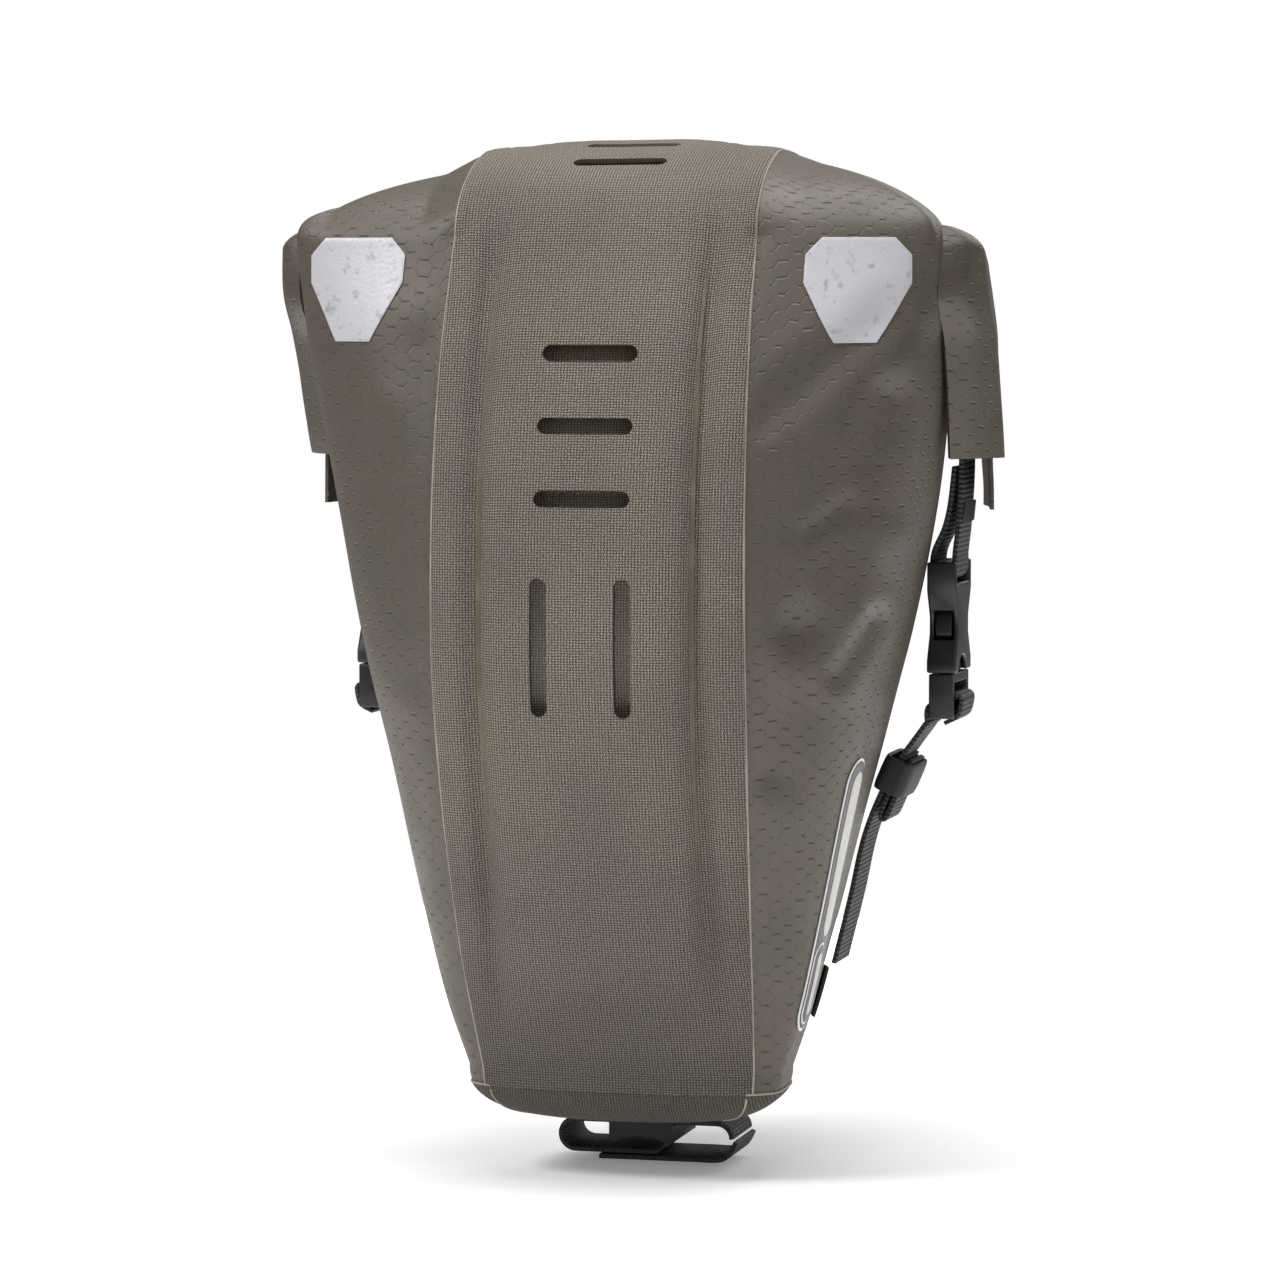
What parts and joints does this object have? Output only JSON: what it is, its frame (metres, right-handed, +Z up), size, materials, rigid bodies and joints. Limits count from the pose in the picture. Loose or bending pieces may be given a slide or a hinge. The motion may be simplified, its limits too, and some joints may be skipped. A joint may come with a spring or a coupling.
{
  "type": "saddle bag",
  "caption": "Tall wedge-shaped waterproof saddle bag with a rolled mouth, slotted rear face for lights, side-release buckles and a quick-release rail bracket.",
  "frame": {"origin": "centre of the lower rail jaw's flat seat, midway between the two saddle rails, at the middle of the clamp's length", "axes": "+Z up along the saddle rails, from the seatpost end to the wide crown of the bag; +Y from the bag towards the saddle; +X to the right as seen from the slotted rear face"},
  "size_m": [0.2208, 0.1642, 0.3141],
  "materials": {
    "ripstop": "coated ripstop nylon",
    "weave": "coarse coated weave",
    "liner": "coated liner",
    "reflective": "retroreflective film",
    "label": "printed film",
    "webbing": "woven polyester webbing",
    "acetal": "moulded acetal",
    "rubber": "moulded rubber",
    "nylon": "glass-filled nylon",
    "steel": "stainless",
    "aluminium": "bead-blasted"
  },
  "bodies": {
    "rail_clamp": {"rail_jaw_lower": "aluminium", "rail_jaw_upper": "aluminium", "clamp_bolt_1": "steel", "clamp_bolt_2": "steel"},
    "bag": {"rear_panel": "weave", "front_panel": "ripstop", "base_panel": "weave", "side_panel_left": "ripstop", "side_panel_right": "ripstop", "rear_stiffener": "nylon", "rear_liner": "liner", "reflector_rear_left": "reflective", "reflector_rear_right": "reflective", "reflector_crown_left": "reflective", "reflector_crown_right": "reflective", "side_label_left": "label", "side_label_right": "label", "side_strap_left": "webbing", "side_strap_right": "webbing", "strap_tail_left": "webbing", "strap_tail_right": "webbing", "strap_anchor_left": "webbing", "strap_anchor_right": "webbing", "seatpost_strap": "webbing", "seatpost_pad": "rubber", "bracket_receiver": "nylon", "lever_pin": "steel", "backing_plate": "nylon", "bracket_screw_1": "steel", "bracket_screw_2": "steel", "bracket_screw_3": "steel", "bracket_screw_4": "steel"},
    "roll": {"mouth_roll": "ripstop", "closure_bar": "nylon"},
    "lever": {"release_lever": "acetal"},
    "strap_end": {"strap_tab": "webbing"},
    "end_left": {"roll_end_left": "ripstop", "end_webbing_left": "webbing"},
    "housing_left": {"buckle_housing_left": "acetal"},
    "plug_left": {"buckle_plug_left": "acetal"},
    "keeper_left": {"strap_keeper_left": "rubber"},
    "prong_rear_left": {"prong_rear_left": "acetal"},
    "prong_front_left": {"prong_front_left": "acetal"},
    "end_right": {"roll_end_right": "ripstop", "end_webbing_right": "webbing"},
    "housing_right": {"buckle_housing_right": "acetal"},
    "plug_right": {"buckle_plug_right": "acetal"},
    "keeper_right": {"strap_keeper_right": "rubber"},
    "prong_rear_right": {"prong_rear_right": "acetal"},
    "prong_front_right": {"prong_front_right": "acetal"}
  },
  "joints": [
    {"name": "bag_slide_off", "type": "slide", "parent": "rail_clamp", "child": "bag", "axis": [0, 0, 1], "range_m": [0, 0.06]},
    {"name": "lever_press", "type": "hinge", "parent": "bag", "child": "lever", "pos_m": [0, -0.017, 0.044], "axis": [1, 0, 0], "range_deg": [0, 6], "stiffness_Nm_per_rad": 0.3},
    {"name": "roll_open", "type": "hinge", "parent": "bag", "child": "roll", "pos_m": [0, -0.023, 0.138], "axis": [1, 0, 0], "range_deg": [0, 90]},
    {"name": "strap_tab_open", "type": "hinge", "parent": "bag", "child": "strap_end", "pos_m": [0.0295, -0.066, -0.142], "axis": [0, 1, 0], "range_deg": [-100, 0]},
    {"name": "roll_end_fold_left", "type": "hinge", "parent": "roll", "child": "end_left", "pos_m": [-0.098, -0.074, 0.139], "axis": [0, 1, 0], "range_deg": [0, 90]},
    {"name": "buckle_swing_left", "type": "hinge", "parent": "end_left", "child": "housing_left", "pos_m": [-0.091, -0.054, 0.035], "axis": [0, 1, 0], "range_deg": [0, 25]},
    {"name": "buckle_release_left", "type": "slide", "parent": "housing_left", "child": "plug_left", "axis": [0, 0, -1], "range_m": [0, 0.024]},
    {"name": "prong_press_rear_left", "type": "hinge", "parent": "plug_left", "child": "prong_rear_left", "pos_m": [-0.091, -0.0602, 0.004], "axis": [1, 0, 0], "range_deg": [-5, 0], "stiffness_Nm_per_rad": 0.05},
    {"name": "prong_press_front_left", "type": "hinge", "parent": "plug_left", "child": "prong_front_left", "pos_m": [-0.091, -0.0478, 0.004], "axis": [1, 0, 0], "range_deg": [0, 5], "stiffness_Nm_per_rad": 0.05},
    {"name": "keeper_shift_left", "type": "slide", "parent": "bag", "child": "keeper_left", "axis": [-0.3976, 0, 0.9176], "range_m": [-0.004, 0.003]},
    {"name": "roll_end_fold_right", "type": "hinge", "parent": "roll", "child": "end_right", "pos_m": [0.098, -0.074, 0.139], "axis": [0, 1, 0], "range_deg": [-90, 0]},
    {"name": "buckle_swing_right", "type": "hinge", "parent": "end_right", "child": "housing_right", "pos_m": [0.091, -0.054, 0.035], "axis": [0, 1, 0], "range_deg": [-25, 0]},
    {"name": "buckle_release_right", "type": "slide", "parent": "housing_right", "child": "plug_right", "axis": [0, 0, -1], "range_m": [0, 0.024]},
    {"name": "prong_press_rear_right", "type": "hinge", "parent": "plug_right", "child": "prong_rear_right", "pos_m": [0.091, -0.0602, 0.004], "axis": [1, 0, 0], "range_deg": [-5, 0], "stiffness_Nm_per_rad": 0.05},
    {"name": "prong_press_front_right", "type": "hinge", "parent": "plug_right", "child": "prong_front_right", "pos_m": [0.091, -0.0478, 0.004], "axis": [1, 0, 0], "range_deg": [0, 5], "stiffness_Nm_per_rad": 0.05},
    {"name": "keeper_shift_right", "type": "slide", "parent": "bag", "child": "keeper_right", "axis": [0.3976, 0, 0.9176], "range_m": [-0.004, 0.003]}
  ],
  "couplings": [
    {"joint": "prong_press_rear_left", "follows": "prong_press_front_left", "ratio": -1},
    {"joint": "prong_press_rear_right", "follows": "prong_press_front_right", "ratio": -1}
  ]
}
